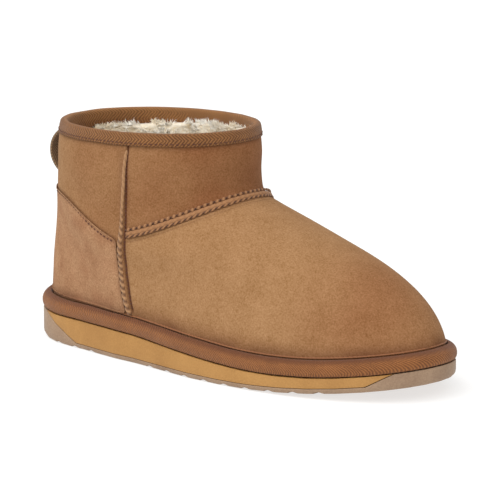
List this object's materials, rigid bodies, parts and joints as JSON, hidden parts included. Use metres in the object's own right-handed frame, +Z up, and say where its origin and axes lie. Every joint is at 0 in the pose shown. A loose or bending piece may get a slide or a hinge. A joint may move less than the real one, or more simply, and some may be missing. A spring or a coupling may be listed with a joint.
{
  "type": "sheepskin boot",
  "caption": "Low ankle boot of tan sheepskin with a taped collar, raised seams, a heel counter, a pull loop, a wool inside and a foam and rubber sole.",
  "frame": {"origin": "on the floor, under the middle of the boot's length and width", "axes": "+X from heel to toe, +Y to the inner side of this right boot, +Z up"},
  "size_m": [0.27, 0.104, 0.1248],
  "materials": {
    "sole_rubber": "matt moulded rubber",
    "midsole_foam": "smooth moulded foam",
    "suede": "brushed suede side of sheepskin",
    "binding_tape": "woven twill tape",
    "webbing": "woven webbing",
    "wool": "clipped wool pile"
  },
  "bodies": {
    "root": {"outsole": "sole_rubber", "midsole": "midsole_foam", "binding_round_sole": "binding_tape", "upper": "suede", "heel_counter": "suede", "collar_tape": "binding_tape", "pull_loop": "webbing", "insole": "wool"}
  },
  "joints": []
}
